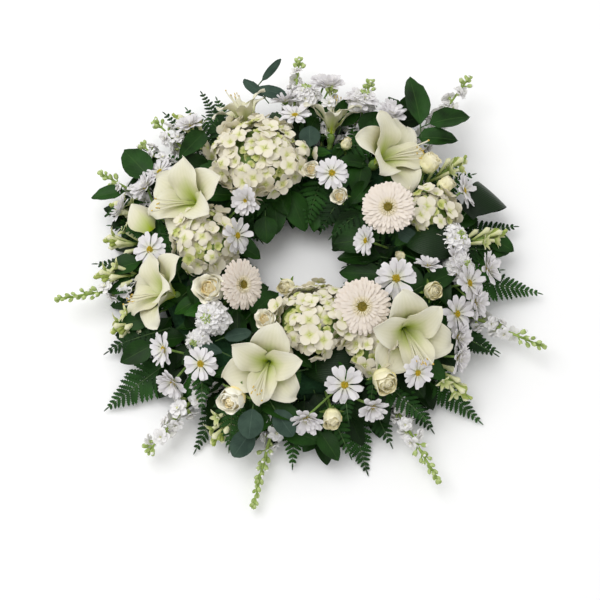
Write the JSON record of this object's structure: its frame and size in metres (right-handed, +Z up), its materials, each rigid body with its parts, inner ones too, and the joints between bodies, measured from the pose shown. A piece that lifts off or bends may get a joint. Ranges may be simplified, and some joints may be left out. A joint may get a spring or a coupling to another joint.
{
  "type": "funeral wreath",
  "caption": "Round funeral wreath of white flowers and greenery on a floral foam ring in a plastic tray, lying flat with an open centre.",
  "frame": {"origin": "under the ring's axis, on the surface that the tray rests on", "axes": "+Z up out of the wreath's face, +X and -X towards the longest flower spikes at its sides, -Y towards the side nearest the viewer"},
  "size_m": [0.7899, 0.7979, 0.1585],
  "materials": {
    "tray_plastic": "satin",
    "floral_foam": "matte",
    "gerbera_petals": "matte",
    "rose_petals": "matte",
    "daisy_petals": "matte",
    "amaryllis_petals": "satin",
    "hydrangea_florets": "matte",
    "stock_florets": "matte",
    "tuberose_buds": "satin",
    "leaf_green": "satin",
    "fern_green": "matte"
  },
  "bodies": {
    "root": {"amaryllis_1": "amaryllis_petals", "amaryllis_2": "amaryllis_petals", "amaryllis_3": "amaryllis_petals", "amaryllis_4": "amaryllis_petals", "amaryllis_5": "amaryllis_petals", "amaryllis_6": "amaryllis_petals", "amaryllis_7": "amaryllis_petals", "daisy_1": "daisy_petals", "daisy_2": "daisy_petals", "daisy_3": "daisy_petals", "daisy_4": "daisy_petals", "daisy_5": "daisy_petals", "daisy_spray_1": "daisy_petals", "daisy_spray_2": "daisy_petals", "daisy_spray_3": "daisy_petals", "daisy_spray_4": "daisy_petals", "daisy_spray_5": "daisy_petals", "daisy_spray_6": "daisy_petals", "daisy_spray_7": "daisy_petals", "daisy_spray_8": "daisy_petals", "fern_1": "fern_green", "fern_2": "fern_green", "fern_3": "fern_green", "foam_ring": "floral_foam", "gerbera_1": "gerbera_petals", "gerbera_2": "gerbera_petals", "gerbera_3": "gerbera_petals", "hydrangea_1": "hydrangea_florets", "hydrangea_2": "hydrangea_florets", "hydrangea_3": "hydrangea_florets", "hydrangea_4": "hydrangea_florets", "hydrangea_5": "hydrangea_florets", "leaf_collar_inner": "leaf_green", "leaf_collar_outer": "leaf_green", "rose_1": "rose_petals", "rose_2": "rose_petals", "rose_3": "rose_petals", "rose_4": "rose_petals", "rose_5": "rose_petals", "rose_6": "rose_petals", "rose_spray_1": "rose_petals", "rose_spray_2": "rose_petals", "salal_twig_1": "leaf_green", "salal_twig_2": "leaf_green", "stock_1": "stock_florets", "stock_10": "stock_florets", "stock_2": "stock_florets", "stock_3": "stock_florets", "stock_4": "stock_florets", "stock_5": "stock_florets", "stock_6": "stock_florets", "stock_7": "stock_florets", "stock_8": "stock_florets", "stock_9": "stock_florets", "tray": "tray_plastic", "tuberose_1": "tuberose_buds", "tuberose_2": "tuberose_buds", "tuberose_3": "tuberose_buds", "tuberose_4": "tuberose_buds", "tuberose_5": "tuberose_buds"}
  },
  "joints": []
}
